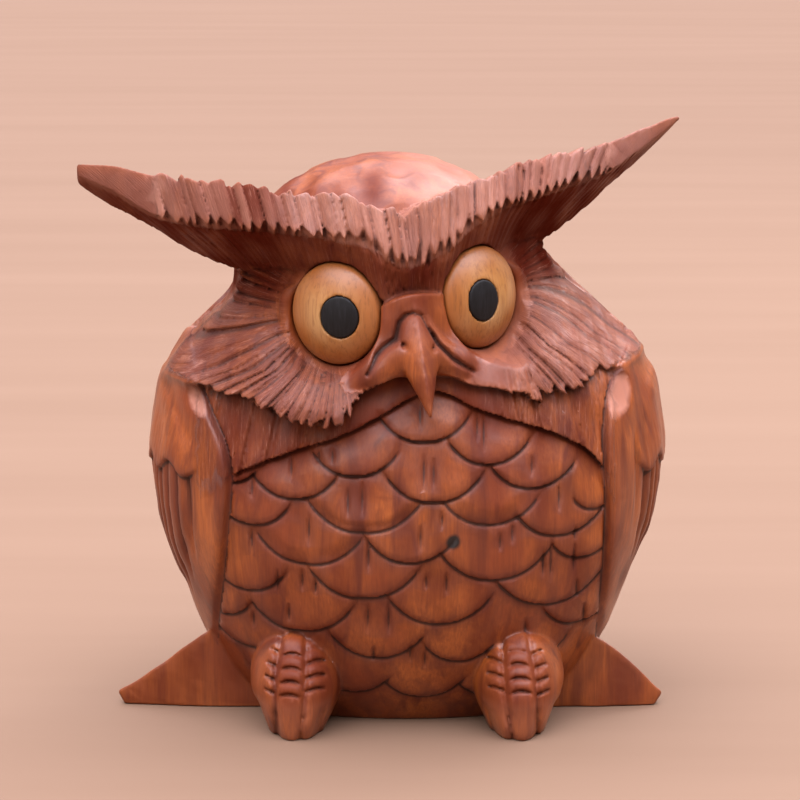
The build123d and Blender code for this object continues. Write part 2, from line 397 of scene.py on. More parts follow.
def body_forms(x, y, z):
    """The egg of the body, the relief of its chest, collar, wings and back, and the distance to its cuts."""
    half, front, back = BODY_HALF_WIDTH(z), BODY_FRONT(z), BODY_BACK(z)
    x = x - BODY_SHIFT * ramp(z, 20, 80)
    middle = (back - front) / 2
    depth = (back + front) / 2
    a = np.abs(x) / half
    b = np.abs(y - middle) / depth
    r = np.maximum((a**BODY_SQUARENESS + b**BODY_SQUARENESS) ** (1 / BODY_SQUARENESS), 0.05)
    f = np.hypot(x, y - middle) * (1 - 1 / r)
    relief, gap = np.zeros_like(f), np.full_like(f, FAR)
    near = (np.abs(f) < 7) & (z > -2) & (z < BODY_TOP + 2)
    x, y, z, half, middle, depth = (v[near] for v in (x, y, z, half, middle, depth))
    around = np.arctan2(np.abs(x) / half, (middle - y) / depth)
    ahead = y < middle
    chest = ahead & (x > CHEST_LEFT(z)) & (x < CHEST_RIGHT(z)) & (z < COLLAR_EDGE(x))
    wing_edge = np.where(x < 0, WING_LEFT(z) - x, x - WING_RIGHT(z))
    rear_edge = (math.pi - around) * WING_ARC - (6 + 20 * ramp(z, 25, 95))
    edge = np.where(ahead | (around < 1.75), wing_edge, rear_edge)
    wing = edge > -0.5
    here, here_gap = np.zeros_like(x), np.full_like(x, FAR)
    zones = ((chest, chest_relief, (x, z)),
             (~chest & ~wing & ahead, collar_relief, (x, z)),
             (~wing & ~ahead, mantle_relief, (x, z)),
             (wing, wing_relief, (x, z, around, edge)))
    for zone, make, places in zones:
        here[zone], here_gap[zone] = make(*(v[zone] for v in places))
    relief[near] = here * (0.4 + 0.6 * ramp(z, 1, 4))
    gap[near] = here_gap
    return f, relief, gap


def body_field(x, y, z):
    """The body without its head, feet and tail."""
    egg, relief, _ = body_forms(x, y, z)
    return egg - relief


def wing_ridge(side, z):
    """The point on the wing's leading ridge at a height, and the way its surface faces there."""
    line = WING_LEFT if side < 0 else WING_RIGHT
    x = float(line(np.float64(z))) + side * WING_RIDGE
    half, front, back = (float(size(np.float64(z))) for size in (BODY_HALF_WIDTH, BODY_FRONT, BODY_BACK))
    middle, depth = (back - front) / 2, (back + front) / 2
    a = abs(x) / half
    b = (1 - a**BODY_SQUARENESS) ** (1 / BODY_SQUARENESS)
    normal = np.array((side * a ** (BODY_SQUARENESS - 1) / half, -(b ** (BODY_SQUARENESS - 1)) / depth, 0))
    normal = normal / np.linalg.norm(normal)
    return np.array((x + BODY_SHIFT, middle - depth * b, z)) + WING_RIDGE_HEIGHT * normal, normal


# The chips' side, height, upward lean, radius and depth.
WING_CHIPS = ((-1, 84, 0.35, 19, 1.0), (1, 87.5, 0.3, 32, 0.95))


def with_wing_chips(f, x, y, z):
    """The flat chips cut off the top of each wing's leading edge."""
    near = (np.abs(x) > 42) & (np.abs(z - 85) < 14) & (y < -8)
    p = (x[near], y[near], z[near])
    part = f[near]
    for side, height, lean, radius, depth in WING_CHIPS:
        spot, normal = wing_ridge(side, height)
        normal = normal + (-0.25 * side, -0.25, lean)
        part = shave(part, p, spot, normal, radius, depth)
    f[near] = part
    return f


# ---- the head
SKULL_CENTRE = (0, 2, 4)
SKULL_RADII = (38.5, 37.5, 31)
SKULL_FACETS = 190
FACE_REACH = curve({
    -32: 53, -24: 53.5, -20: 53, -16: 51.2, -12: 49.2, -4: 46.2, 2.5: 43.8, 8: 41.5, 16: 37})
FACE_HALF_WIDTH = curve({-32: 62.5, -24: 61.5, -16: 58.8, -9: 54.2, -2: 48.2, 3: 44.2, 10: 41.4, 16: 40.5})
FACE_SQUARENESS = 2.15
FACE_TOP = 17
FACE_LOW_EDGE = curve({
    -62: -13, -57: -14, -51: -15.2, -44: -16.5, -37: -20, -31: -22.4, -24: -23.8, -20: -23, -16: -19,
    -12: -16, -6: -13.5, 0: -12.5, 7: -14, 12: -17, 18.5: -18.6, 24: -20.6, 29: -22.4, 36: -20.6, 42: -19.8,
    48: -18.8, 62: -17.5})
EYE_LEVEL = 2.0
FAN_CENTRE = (16.5, EYE_LEVEL)  # where the rays round each eye spread from
RAY_PITCH, FINE_RAY_PITCH = 5.2, 2.3  # in degrees
Rays = namedtuple("Rays", "index part width out angle spread fine_index fine_part fine_width")

# The brow, by distance from the middle: y and z of the crest, of the foot of its flutes, and of its root.
CREST_Y = curve({0: -42.5, 14: -41.5, 30: -35, 45: -25, 57: -14.5, 68: -6.5, 78.5: -0.8})
CREST_Z_RIGHT = curve({
    0: 25.4, 4: 27.2, 9: 28.8, 18: 31.1, 25: 32.6, 36: 33.8, 47: 34.4, 57: 34.4, 67.5: 36.2, 79: 38.2})
CREST_Z_LEFT = curve({
    0: 25.4, 4: 26.6, 7: 27.8, 14: 30.3, 24.6: 31.9, 33: 33, 40.5: 34.4, 49.5: 35.8, 57.6: 36.4, 66: 38.6,
    77: 39.8})
FOOT_Y = curve({0: -48, 8: -47.6, 14: -46.2, 30: -40, 45: -28.8, 57: -17, 68: -7.2, 78.5: -0.8})
FOOT_Z_RIGHT = curve({
    0: 13.5, 3: 14.3, 6: 15.2, 10: 17, 17: 21.5, 24: 24.3, 35: 25.8, 45: 26.6, 56: 27.4, 68: 31.5,
    79: 36.8})
FOOT_Z_LEFT = curve({
    0: 13.5, 3: 14.2, 8: 18, 15.4: 20.6, 26: 22.8, 34.4: 23.8, 42: 24.2, 50.6: 24.8, 59: 26.8, 68: 32.5,
    77: 37})
ROOT_Y = curve({0: -43.6, 8: -43.8, 14: -40, 20: -36, 30: -20, 45: -8, 57: -6, 68: -1.5, 78.5: 1.2})
ROOT_Z = curve({0: 4, 8: 5, 14: 12, 20: 12, 30: 9.5, 40: 10.5, 50: 15.5, 57: 20.6, 68: 27.4, 79: 36})
BACK_Y = curve({0: -8, 14: -6, 30: -3, 45: 2.5, 57: 2.5, 68: 2.5, 78.5: 1.2})
BACK_Z = curve({0: 19, 14: 22.5, 30: 26, 45: 28.6, 57: 30.6, 68: 33.8, 79: 37.4})
TUFT_END = {-1: 76.0, 1: 79.5}  # the left tuft is the shorter
FLUTE_PITCH = 2.6
SCOOP_PITCH = 1.9
# Where each flute would reach the height of the eyes, by where it starts on the crest; and the same for the
# finer cuts in the scoop below, which all run towards the eye.
FLUTE_AIM = {-1: curve({0: 0, 6: 4.5, 14: 12, 25: 22, 45: 39, 80: 70}),
             1: curve({0: 0, 6: 2.8, 10: 5.5, 14: 9.5, 20: 16, 35: 25, 57: 33, 80: 50})}
SCOOP_AIM = curve({0: 0, 6: 3.5, 12: 8, 20: 14.5, 35: 21, 57: 27, 80: 40})


def half_plane(y, z, y0, z0, y1, z1):
    """Signed distance to the right-hand side of the line from (y0, z0) to (y1, z1)."""
    dy, dz = y1 - y0, z1 - z0
    length = np.sqrt(dy * dy + dz * dz) + 1e-4
    return ((y - y0) * dz - (z - z0) * dy) / length, ((y - y0) * dy + (z - z0) * dz) / (length * length)


def fan_place(hx, hz, aims):
    """Where on the brow's crest the cut through this point starts."""
    found = np.zeros_like(hx)
    for side, crest_z in ((-1, CREST_Z_LEFT), (1, CREST_Z_RIGHT)):
        here = hx * side >= 0
        reach, height = np.abs(hx[here]), hz[here]
        place = reach
        for _ in range(4):
            crest = crest_z(place)
            rise = np.clip((crest - height) / (crest - EYE_LEVEL), -0.3, 1)
            place = reach + (place - aims[side](place)) * rise
        found[here] = place * side
    return found


def flute_foot(hx):
    """How high up the head the brow's flutes end."""
    reach = np.abs(hx)
    return np.where(hx > 0, FOOT_Z_RIGHT(reach), FOOT_Z_LEFT(reach))


def flutes(hx, hz):
    """The flutes across the brow: each one's number, the place in it and its width."""
    return cells(fan_place(hx, hz, FLUTE_AIM), FLUTE_PITCH, 5, 0.62)


def scoop_cuts(hx, hz):
    """The finer cuts in the scoop under the flutes, in the same way."""
    return cells(fan_place(hx, hz, {-1: SCOOP_AIM, 1: SCOOP_AIM}), SCOOP_PITCH, 15, 0.6)


def brow_field(hx, hy, hz):
    """The brow and its two ear tufts, with the flutes along the crest."""
    right = hx > 0
    end = np.where(right, TUFT_END[1], TUFT_END[-1])
    reach = np.minimum(np.abs(hx), end)
    crest_z = np.where(right, CREST_Z_RIGHT(reach), CREST_Z_LEFT(reach))
    foot_z = np.where(right, FOOT_Z_RIGHT(reach), FOOT_Z_LEFT(reach))
    crest_y, foot_y = CREST_Y(reach), FOOT_Y(reach)
    root_y, root_z = ROOT_Y(reach), ROOT_Z(reach)
    back_y, back_z = BACK_Y(reach), BACK_Z(reach)

    index, part, width = flutes(hx, hz)
    notched = fall(reach, 55.5, 58.5)
    peak = 0.9 - 2.0 * np.abs(part - per_cell(index, 7, 0.1, 0.9)) + per_cell(index, 6, -1.1, 0.9)
    crest_z = crest_z + 0.8 * notched * peak
    foot_z = foot_z + notched * per_cell(index, 12, -1.3, 1.0) * ramp(15 - reach, -12, 8)

    upper, _ = half_plane(hy, hz, crest_y, crest_z, foot_y, foot_z)
    lower, along = half_plane(hy, hz, foot_y, foot_z, root_y, root_z)
    under, _ = half_plane(hy, hz, root_y, root_z, back_y, back_z)
    top, _ = half_plane(hy, hz, back_y, back_z, crest_y, crest_z)
    along = np.clip(along, 0, 1)
    scoop = (1.2 + 3.2 * ramp(reach, 5, 25)) * np.clip(1 - reach / 78, 0.05, 1) * np.sqrt(along) * (1 - along)
    lower = lower + scoop

    cut = per_cell(index, 11, 0.15, 0.9) * v_cut(part, width, 0.8)
    tilt = (part - 0.5) * width * per_cell(index, 9, -0.42, 0.42)
    upper = upper + notched * (cut + tilt + per_cell(index, 8, -0.35, 0.55))
    point = np.abs(2 * part - per_cell(index, 13, 0.7, 1.3))
    dart = (1.5 + 0.35 * width) * point + per_cell(index, 10, -1.1, 0.6)
    lower = lower + notched * dart * fall(along, 0.0, 0.3)
    fine, fine_part, fine_width = scoop_cuts(hx, hz)
    groove = per_cell(fine, 16, 0.15, 0.65) * v_cut(fine_part, fine_width, 0.75)
    lower = lower + fall(reach, 64, 74) * groove * ramp(along, -0.05, 0.1)

    f = smax(upper, lower, 0.25)
    f = smax(f, top, 0.4)
    f = smax(f, under, 1.2)
    return smax(f, np.abs(hx) - end, 0.6)


def ray_fan(hx, hz):
    """The rays round each eye: which one, the place in it, its width, and how far and which way that is."""
    right = hx > 0
    u = np.abs(hx) - FAN_CENTRE[0]
    v = hz - FAN_CENTRE[1]
    out = np.hypot(u, v)
    angle = np.degrees(np.arctan2(v + 5 * np.clip(-v / 13, 0, 1), u))
    angle = angle + np.where(right, 0.55, 0.15) * np.clip(out - 16, 0, 40)  # rays bend down as they go out
    spread = angle - np.where(right, 0.35, 0.1) * np.clip(angle + 4, 0, 60)
    spread = spread + np.where(right, 200, -200)  # each side has its own rays
    index, part, width = cells(spread, RAY_PITCH, 51, 0.55, -420, 420)
    fine_index, fine_part, fine_width = cells(spread, FINE_RAY_PITCH, 57, 0.55, -420, 420)
    return Rays(index, part, np.radians(width) * out, out, angle, spread,
                fine_index, fine_part, np.radians(fine_width) * out)


def rayed(hx):
    """1 where the disc carries rays, 0 on the smooth right cheek."""
    return np.where(hx > 0, ramp(hx, 21, 33), 1)


def ragged_edge(hx, rays):
    """How far the rays' ends break the disc's lower edge: not at the mouth, nor at the disc's corners."""
    teeth = per_cell(rays.index, 52, -1.2, 1.2) + (rays.part - 0.5) * per_cell(rays.index, 53, -2.4, 2.4)
    teeth = teeth + (rays.fine_part - 0.5) * per_cell(rays.fine_index, 58, -1.4, 1.4) * rayed(hx)
    return teeth * np.where(hx > 0, 1.2 * ramp(hx, 20, 27) * fall(hx, 47, 53),
                            ramp(-hx, 12.5, 17) * fall(-hx, 46, 52))


def ray_relief(hx, hz):
    """The grooves of the rays round each eye, as a height."""
    rays = ray_fan(hx, hz)
    start = 11.8 + 3.0 * ramp(-rays.angle, -5, 70) + per_cell(rays.index, 54, -0.9, 1.6)
    shown = ramp(rays.out, start, start + 2) * ramp(rays.angle, -124, -114) * fall(rays.angle, 58, 70)
    shown = shown * (1 - 0.85 * ramp(-hx, 44, 54)) * (1 - 0.5 * ramp(hx, 46, 54))
    temple = ramp(rays.angle, -6, 6)
    depth = 0.65 + temple * (0.25 + 0.03 * np.clip(rays.out - 14, 0, 20))
    depth = depth + per_cell(rays.index, 55, -0.5, 0.4)
    relief = -v_cut(rays.part, rays.width, 0.8 + 0.3 * temple, depth) + per_cell(rays.index, 56, -0.3, 0.35)
    relief = relief + (rays.part - 0.5) * rays.width * per_cell(rays.index, 60, -0.18, 0.18)
    fine_depth = per_cell(rays.fine_index, 59, 0.1, 0.55) * np.where(hx > 0, 0.4, 1.2)
    return shown * rayed(hx) * (relief - v_cut(rays.fine_part, rays.fine_width, 0.6, fine_depth))


def face_zone(hx, hy, hz):
    """1 on the facial disc, 0 below its ragged edge and behind it."""
    edge = FACE_LOW_EDGE(hx) + ragged_edge(hx, ray_fan(hx, hz))
    return ramp(hz - edge, -0.5, 0.3) * fall(hz, 14, 18) * fall(hy, -8, 6)


def face_field(hx, hy, hz):
    """The facial disc: rays round each eye, with a ragged edge that overhangs the collar."""
    half = FACE_HALF_WIDTH(hz) - 1.8 * ramp(-hx, 10, 40)
    reach = FACE_REACH(hz)
    a = np.abs(hx) / half
    b = np.abs(hy) / reach
    r = np.maximum((a**FACE_SQUARENESS + b**FACE_SQUARENESS) ** (1 / FACE_SQUARENESS), 0.05)
    f = np.hypot(hx, hy) * (1 - 1 / r)

    rays = ray_fan(hx, hz)
    dish = (1.5 + 3.2 * ramp(-rays.angle, -20, 60)) * fall(rays.out, 12, 25)
    dish = dish * ramp(rays.angle, -124, -100)
    f = f + dish + 0.5 * hump(rays.out, 21, 6) - 0.8 * ramp(rays.out, 30, 46)
    low = FACE_LOW_EDGE(hx) + ragged_edge(hx, rays) - hz
    f = smax(f, low, 0.3)
    f = smax(f, (hy + 3) * 0.8 + 0.12 * np.clip(hz, -20, 12), 8)
    return smax(f, hz - FACE_TOP, 1.0)


def skirt_field(f_body, hx, hy, hz):
    """The face's lower edge, where it follows the body and stands proud of the collar."""
    rays = ray_fan(hx, hz)
    f = f_body - 3.2 + 2.6 * ramp(np.abs(hx), 41, 53)
    f = smax(f, FACE_LOW_EDGE(hx) + ragged_edge(hx, rays) * ramp(rays.out, 16, 21) - hz, 0.3)
    f = smax(f, hy + 12, 6)
    return smax(f, hz + 9, 3.0)


BEAK_TIP, BEAK_TOP = -22.6, 4.2
# The beak, by height: its front ridge, its half width, how deep that width lies, and its back.
BEAK_RIDGE = curve({
    -22.4: -57.9, -17.5: -57.8, -13: -56.8, -9: -55.3, -5: -53.2, -1.5: -51, 2.5: -48.4, 6: -46.6})
BEAK_HALF = curve({
    -22.6: 0.15, -20: 0.95, -17: 1.9, -13.5: 3.1, -11: 4.2, -8: 5.3, -5: 5.2, -2: 4.3, 1: 2.9, 3.5: 1.5,
    6: 0.5})
BEAK_DEPTH = curve({-22: 1.2, -17: 3.5, -12: 5.5, -8: 6, -2: 4, 6: 1})
BEAK_BACK = curve({-22.6: -57.4, -20: -55.6, -17: -53, -14: -49.5, -12: -44})
MOUTH_EDGE = curve({
    -13: -16.6, -12: -16, -9: -13.8, -6: -12.8, -2: -14.6, 0: -15.2, 4.8: -14.9, 7.4: -14.7, 11: -16.1,
    14.6: -17.7, 17: -17.6})
CHEEK_FOLD = (
    (-12.8, -12.4), (-9.9, -8.0), (-8.1, -6.4), (-5.0, -4.4), (-3.9, -0.6), (-2.4, 1.2), (-0.4, 1.8),
    (1.4, 0.9), (2.6, -2.1), (4.9, -6.4), (8.5, -10.4), (13.6, -14.2))


def beak_field(hx, hy, hz):
    """The hooked beak: a sharp front ridge with hollow sides."""
    ridge, half, depth = BEAK_RIDGE(hz), BEAK_HALF(hz), BEAK_DEPTH(hz)
    into = hy - ridge
    spread = half * (1 - (1 - np.clip(into / depth, 0, 1)) ** 1.7)
    f = (np.abs(hx - 0.05 * np.clip(-12 - hz, 0, 20)) - spread + np.clip(-into, 0, 30)) * 0.8 - 0.25
    f = smax(f, hy - BEAK_BACK(hz), 0.8)
    f = smax(f, BEAK_TIP - hz, 0.5)
    return smax(f, hz - BEAK_TOP, 0.8)


def nose_field(hx, hy, hz):
    """The mass between the eyes, the beak's two cheeks, and the beak."""
    mirror = (np.abs(hx), hy, hz)
    front = -48.2 + 0.05 * hx * hx + 0.08 * hz
    ledge = 6.2 - np.where(hx < 0.5, 0.040, 0.020) * (hx - 0.5) ** 2
    mass = smax(front - hy, hz - ledge, 0.4)
    mass = smax(mass, np.abs(hx) - 12.5, 1)
    mass = smax(mass, hy + 20, 2)
    mass = smax(mass, -(hz + 12), 2)
    cheek = round_cone(mirror, (3, -46.8, -8.5), (9.5, -45.4, -12), 5.0, 4.0)
    cheek = smin(cheek, round_cone(mirror, (9.5, -45.4, -12), (16, -43.2, -16), 4.0, 2.8), 2)
    cheek = smax(cheek, MOUTH_EDGE(hx) - hz, 0.6)
    f = smin(mass, cheek, 2.5)
    f = smin(f, beak_field(hx, hy, hz), 1.0)
    nostril = np.minimum(np.hypot((hx + 3.7) * 1.2, hz + 5.6), np.hypot((hx - 3.6) * 1.2, hz + 6.8))
    return f + 1.8 * tent(nostril, 1.2)


def fold_gap(hx, hz):
    """Distance to the fold that runs over the beak and down each cheek, from the middle of its cut."""
    thin = 0.45 * ramp(np.abs(hx), 9, 14.5) + 0.25 * fall(np.abs(hx), 1.5, 4.5)
    return line_distance(hx, hz, CHEEK_FOLD) + thin


def with_fold(f, hx, hy, hz):
    """Cuts the fold round the beak."""
    near = (np.abs(hx) < 18) & (hy < -36) & (hz > -18) & (hz < 8)
    cut = tent(fold_gap(hx[near], hz[near]), 1.1)
    f[near] += 1.7 * cut
    return f


def eye_place(hx, hy, hz, side):
    """Places in an eye's own frame: out of its rim's ellipse, out the way it looks, across and up."""
    centre = EYE_CENTRES[side]
    p = np.stack((hx - centre[0], hy - centre[1], hz - centre[2]))
    across, up, out = eye_axes(side).astype(p.dtype) @ p
    q = np.sqrt((across / EYE_RIM[0]) ** 2 + (up / EYE_RIM[1]) ** 2)
    return (q - 1) * RING_SCALE, out, across, up


def with_eye(f, hx, hy, hz, side):
    """Adds an eyelid and cuts the eye's socket and the hollow in front of it."""
    near = (np.abs(hx - EYE_CENTRES[side][0]) < 26) & (np.abs(hz - EYE_CENTRES[side][2]) < 26) & (hy < -18)
    ring, out, across, up = eye_place(hx[near], hy[near], hz[near], side)
    part = f[near]
    lid = np.hypot(ring - 1.9, out + 1.9) - 2.6
    lid = smax(lid, up - 7 + 6 * ramp(-side * across, 2, 8), 4)
    part = smin(part, lid, 1.5)
    grooves = ray_relief(hx[near], hz[near]) * ramp(out, 0.5, 2.5)
    hollow = ring - 0.35 - 0.42 * np.clip(out, 0, 20) + grooves
    hollow = np.maximum(hollow, -out - EYE_SEAT)
    part = smax(part, -hollow, 0.5)
    f[near] = part
    return f


def skull_field(hx, hy, hz):
    """The crown and the back of the head, with shallow gouge facets."""
    p = (hx, hy, hz)
    f = ball(p, SKULL_CENTRE, SKULL_RADII)
    near = np.abs(f) < 5
    q = np.stack([v[near] for v in p])
    part = f[near]
    random = np.random.default_rng(61)
    centre = np.array(SKULL_CENTRE, float)
    radii = np.array(SKULL_RADII, float)
    for _ in range(SKULL_FACETS):
        way = random.normal(size=3)
        way[2] = abs(way[2]) * 1.1 - 0.15
        way[1] = way[1] + 0.1
        way = way / np.linalg.norm(way)
        spot = centre + way * radii
        normal = way / radii
        radius = random.uniform(9, 24)
        depth = random.uniform(0.4, 1.1)
        close = np.abs(q - spot[:, None]).max(axis=0) < math.sqrt(2 * radius * depth) + 3
        part[close] = shave(part[close], q[:, close], spot, normal, radius, depth)
    f[near] = part
    return f


# ---- feet and tail
FOOT_MIDDLES = (-27.4, 28.3)
FOOT_HALF = curve({0: 7.6, 3: 8.9, 7: 10.6, 11: 11.7, 15: 11.6, 19: 10.3, 23: 7.8, 26: 3.5})
FOOT_FRONT = curve({0: -48.6, 3: -49.8, 8: -49.8, 14: -48.4, 20: -45.2, 24: -42, 26.5: -38})
FOOT_REAR = -30.0
FOOT_TOP = 26.2
TOE_TIP = -48.6
TOE_GROOVES = ((-5.0, 2.4), (-3.4, 4.4))  # for each foot, across its middle
TOE_LEANS = (0.05, -0.09)
TOE_HALF = 3.1
KNUCKLE_PITCH = 3.1
KNUCKLES_FROM = 12.4
TAIL_TOP = curve({
    -76: 3.2, -74: 4.4, -62: 12.2, -52: 19.4, -46: 22.5, 0: 22.5, 46: 20.5, 53: 16.4, 62: 8.4, 66: 4.4,
    68: 3.0})
TAIL_SLOPE = 0.24
TAIL_RAY_PITCH = 8.5  # in degrees
TAIL_FRONT = -18.2
TAIL_BACK = curve({-76: 8, -70: 14, -55: 34, -35: 46, 0: 49.5, 32: 46, 50: 34, 63: 14, 68: 8})


def foot_field(x, y, z, number):
    """One foot: a dome split into three toes by two long cuts, with short curved cuts across each toe."""
    u = x - FOOT_MIDDLES[number]
    half, front = FOOT_HALF(z), FOOT_FRONT(z)
    depth = FOOT_REAR - front
    r = np.sqrt((u / half) ** 2 + ((y - FOOT_REAR) / depth) ** 2)
    f = np.hypot(u, y - FOOT_REAR) * (1 - 1 / np.maximum(r, 0.05))
    f = smax(f, z - FOOT_TOP, 3)
    lean = TOE_LEANS[number] * (z - 12)
    across = (u - lean) / (1 - 0.22 * fall(z, 0, 12) - 0.2 * ramp(z, 16, 26))
    first, second = TOE_GROOVES[number]
    groove = np.minimum(np.abs(across - first), np.abs(across - second))
    f = f + 1.25 * tent(groove, 1.2) * ramp(26 - z, 0, 3)
    toe = (across > first).astype(int) + (across > second)
    toe_middle = np.choose(toe, (first - 2.6, (first + second) / 2, second + 2.6))
    dip = ((across - toe_middle) / TOE_HALF) ** 2
    random = np.random.default_rng(81 + number)
    for each in range(3):
        step = (z - KNUCKLES_FROM - random.uniform(-0.7, 0.7) + 1.1 * dip) / KNUCKLE_PITCH
        part = step - np.floor(step)
        knuckle = 0.4 * np.sin(math.pi * part) - v_cut(part, KNUCKLE_PITCH, 0.7, 1.15)
        shown = (toe == each) * np.clip(1.15 - dip, 0, 1) * ramp(step, -0.25, -0.2)
        shown = shown * fall(z, 21.5, 22.5) * fall(np.abs(across), 6.8, 8.2)
        f = f - knuckle * shown
    claw = np.abs(across - toe_middle) * 0.25 * fall(dip, 0.8, 1.8) * fall(z, 6, 9)
    return smax(f + claw, (TOE_TIP - y - 0.1 * z) * 0.9, 0.4)


def tail_field(x, y, z):
    """The spread tail: an upright front face, a top that slopes back to the ground, and rays along it."""
    rear = TAIL_BACK(x)
    slope = TAIL_SLOPE + 0.14 * ramp(np.abs(x), 35, 60)
    top = TAIL_TOP(x) - slope * np.clip(y + 18, 0, 80) * ramp(TAIL_TOP(x), 1, 7)
    angle = np.degrees(np.arctan2(x, y + 45))
    _, part, width = cells(angle, TAIL_RAY_PITCH, 71, 0.25)
    rays = ramp(y, -9, 3) * fall(np.abs(x), 56, 66)
    top = top - rays * (v_cut(part, width, 1.0, 1.2) - 0.5 * arch(part))
    front = TAIL_FRONT - y + 0.12 * np.clip(np.abs(x) - 50, 0, 30)
    f = smax(z - np.maximum(top, 2.2), front, 0.7)
    f = smax(f, (y - rear) * 0.8, 1.5)
    ends = np.where(x > 0, x - 66.3, -x - 74.2) + 0.75 * np.clip(y + 14, 0, 60) + 0.55 * np.clip(3 - z, 0, 3)
    return smax(f, ends * 0.9, 1.0)


def with_head(f, body, x, y, z):
    """Joins the crown, disc, brow and nose to the body, then cuts the fold and the eyes' sockets."""
    head = (x, y, z)
    f = smin(f, skull_field(*head), 5.0)
    face = np.minimum(face_field(*head), skirt_field(body, *head))
    corner = ramp(x, 47, 55) + ramp(-x, 45, 53)
    soft = np.maximum(np.maximum(ramp(y, -24, -6), corner), ramp(z - FACE_LOW_EDGE(x), 3, 10))
    f = smin(f, face, 0.1 + 5 * soft) - ray_relief(x, z) * face_zone(*head)
    f = smin(f, brow_field(*head), 1.2)
    f = smin(f, nose_field(*head), 1.0)
    f = with_fold(f, *head)
    for side in (-1, 1):
        f = with_eye(f, *head, side)
    return f


def owl_field(x, y, z):
    """The whole carved block."""
    body = body_field(x, y, z)
    f = with_wing_chips(np.maximum(body, z - BODY_TOP), x, y, z)
    high = z > HEAD_FROM
    f[high] = with_head(f[high], body[high], *(v[high] for v in into_head(x, y, z)))
    low = z < FEET_BELOW
    place = [v[low] for v in (x, y, z)]
    part = smin(f[low], tail_field(*place), 0.8)
    for number in range(len(FOOT_MIDDLES)):
        part = smin(part, foot_field(*place, number), 0.8)
    f[low] = part
    f = f + 0.10 * waves(x, y, z, 9, 91)
    return smax(f, -z, 0.5)


# ---- from field to mesh
def spread_low_high(values):
    """The lowest and highest value among each cell and its neighbours."""
    low, high = values.copy(), values.copy()
    for axis in range(3):
        for array, pick in ((low, np.minimum), (high, np.maximum)):
            a = np.moveaxis(array, axis, 0)
            before = a.copy()
            a[1:] = pick(a[1:], before[:-1])
            a[:-1] = pick(a[:-1], before[1:])
    return low, high


def at_cells(field, cells_at, low, step):
    """The field's values at sample numbers, worked out in batches."""
    out = np.empty(len(cells_at), np.float32)
    batch = 1_500_000
    for start in range(0, len(cells_at), batch):
        piece = cells_at[start:start + batch]
        spots = (low + (piece + 0.5) * step).astype(np.float32)
        out[start:start + batch] = field(*spots.T)
    return out


def sampled(field, low, high, step, block=4, margin=2.6):
    """The field on a fine grid, worked out only near its surface."""
    low, high = np.array(low, float), np.array(high, float)
    coarse = np.ceil((high - low) / (step * block)).astype(int)
    index = np.stack(np.meshgrid(*[np.arange(n) for n in coarse], indexing="ij"), -1).reshape(-1, 3)
    rough = at_cells(field, index, low, step * block).reshape(coarse)
    least, most = spread_low_high(rough)
    active = (least < margin) & (most > -margin)
    dense = np.where(rough > 0, 3.0, -3.0).astype(np.float32)
    dense = dense.repeat(block, 0).repeat(block, 1).repeat(block, 2)
    chosen = np.argwhere(active)
    local = np.stack(np.meshgrid(*[np.arange(block)] * 3, indexing="ij"), -1).reshape(-1, 3)
    fine = (chosen[:, None, :] * block + local[None]).reshape(-1, 3)
    dense[fine[:, 0], fine[:, 1], fine[:, 2]] = np.clip(at_cells(field, fine, low, step), -3, 3)
    return dense


def main_piece(count, edges):
    """Which vertices belong to the largest connected piece, so that loose crumbs can be dropped."""
    label = np.arange(count)
    while True:
        low = np.minimum(label[edges[:, 0]], label[edges[:, 1]])
        joined = label.copy()
        np.minimum.at(joined, edges[:, 0], low)
        np.minimum.at(joined, edges[:, 1], low)
        joined = joined[joined]
        if (joined == label).all():
            return label == np.bincount(label).argmax()
        label = joined


def meshed(name, field, low, high, step):
    """A mesh object of a field's surface, in metres, and the grid of the field's values."""
    dense = sampled(field, low, high, step)
    grid = openvdb.FloatGrid(3.0)
    grid.copyFromArray(dense)
    points, triangles, quads = grid.convertToPolygons(isovalue=0.0, adaptivity=0.0)
    points = (np.array(low) + (points + 0.5) * step) * MM
    edges = np.concatenate((quads[:, :2], quads[:, 1:3], quads[:, 2:], triangles[:, :2], triangles[:, 1:]))
    kept = main_piece(len(points), edges.astype(np.int64))
    quads, triangles = quads[kept[quads[:, 0]]], triangles[kept[triangles[:, 0]]]
    number = np.cumsum(kept) - 1
    points = points[kept]
    mesh = bpy.data.meshes.new(name)
    faces = number[np.concatenate((quads.reshape(-1), triangles.reshape(-1)))]
    sizes = np.concatenate((np.full(len(quads), 4), np.full(len(triangles), 3)))
    mesh.vertices.add(len(points))
    mesh.vertices.foreach_set("co", points.astype(np.float32).reshape(-1))
    mesh.loops.add(len(faces))
    mesh.loops.foreach_set("vertex_index", faces.astype(np.int32))
    mesh.polygons.add(len(sizes))
    mesh.polygons.foreach_set("loop_start", np.concatenate(([0], np.cumsum(sizes)[:-1])).astype(np.int32))
    mesh.update(calc_edges=True)
    mesh.validate()
    thing = bpy.data.objects.new(name, mesh)
    bpy.context.scene.collection.objects.link(thing)
    return thing, dense


def vertex_places(thing):
    """The vertices in millimetres and their normals."""
    count = len(thing.data.vertices)
    places = np.empty(count * 3, np.float32)
    thing.data.vertices.foreach_get("co", places)
    normals = np.empty(count * 3, np.float32)
    thing.data.vertex_normals.foreach_get("vector", normals)
    return places.reshape(-1, 3) / MM, normals.reshape(-1, 3)


def mark(thing, name, values):
    """Stores a number for each vertex, for the materials to read."""
    layer = thing.data.attributes.new(name, "FLOAT", "POINT")
    layer.data.foreach_set("value", values.astype(np.float32))


